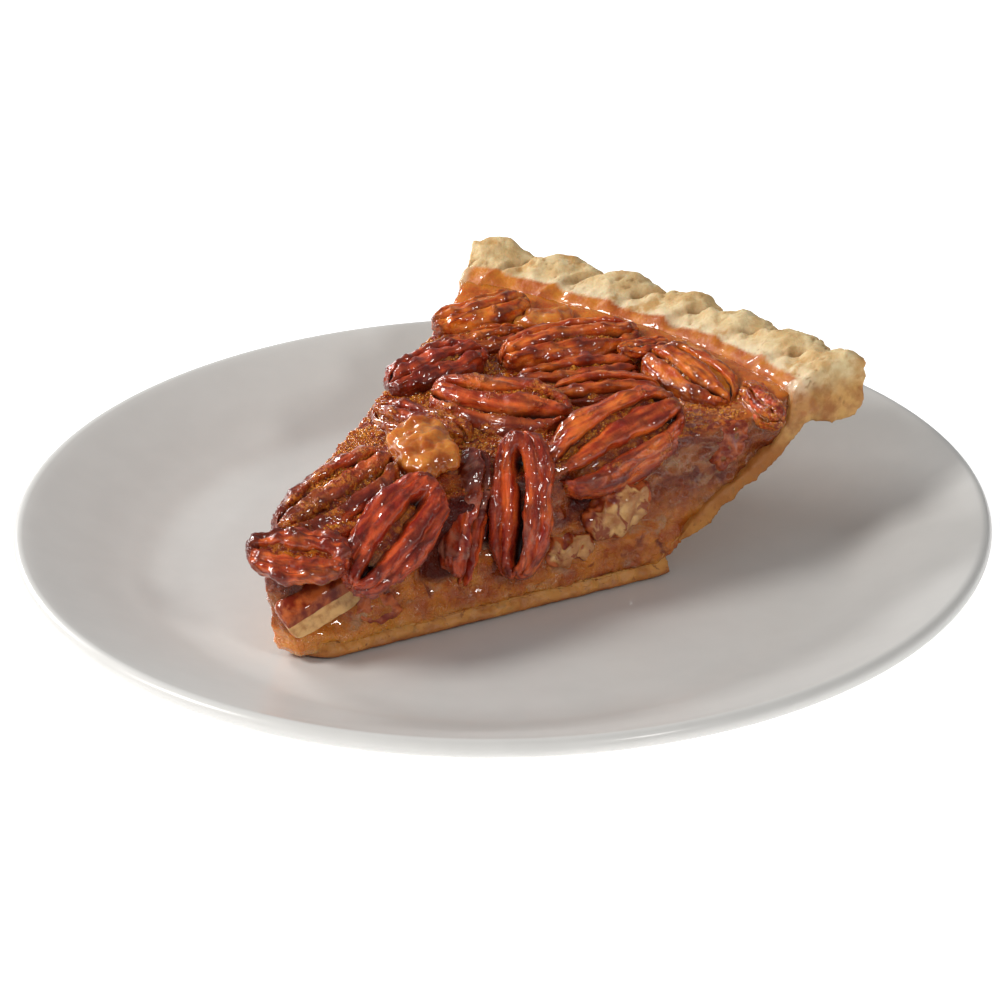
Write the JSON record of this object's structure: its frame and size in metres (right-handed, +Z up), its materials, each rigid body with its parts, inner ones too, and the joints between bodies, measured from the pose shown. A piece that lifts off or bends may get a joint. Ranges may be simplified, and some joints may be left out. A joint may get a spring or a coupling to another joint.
{
  "type": "slice of pecan pie",
  "caption": "Wedge of baked pecan pie with a crimped pastry rim and pecan halves set in syrup, lying on a round white coupe plate.",
  "frame": {"origin": "middle of the plate's foot, on the surface that the plate stands on", "axes": "+Z up; +X to the right and +Y to the back as the slice is served, with the slice's tip at front left and its rim at back right"},
  "size_m": [0.2032, 0.2032, 0.0444],
  "materials": {
    "plate_glaze": "smooth white glaze on stoneware",
    "pastry": "dry baked shortcrust, pale on the rim and golden brown below",
    "syrup": "set syrup, translucent amber brown, glossy",
    "pecan_skin": "roasted skin under a thin syrup glaze"
  },
  "bodies": {
    "root": {"plate": "plate_glaze", "crust": "pastry", "filling": "syrup", "pecan_01": "pecan_skin", "pecan_02": "pecan_skin", "pecan_03": "pecan_skin", "pecan_04": "pecan_skin", "pecan_05": "pecan_skin", "pecan_06": "pecan_skin", "pecan_07": "pecan_skin", "pecan_08": "pecan_skin", "pecan_09": "pecan_skin", "pecan_10": "pecan_skin", "pecan_11": "pecan_skin", "pecan_12": "pecan_skin", "pecan_13": "pecan_skin", "pecan_14": "pecan_skin", "pecan_15": "pecan_skin", "pecan_16": "pecan_skin", "pecan_bit_01": "pecan_skin", "pecan_bit_02": "pecan_skin", "pecan_bit_03": "pecan_skin", "pecan_bit_04": "pecan_skin", "pecan_bit_05": "pecan_skin", "pecan_bit_06": "pecan_skin", "pecan_bit_07": "pecan_skin", "pecan_bit_08": "pecan_skin", "pecan_bit_09": "pecan_skin"}
  },
  "joints": []
}
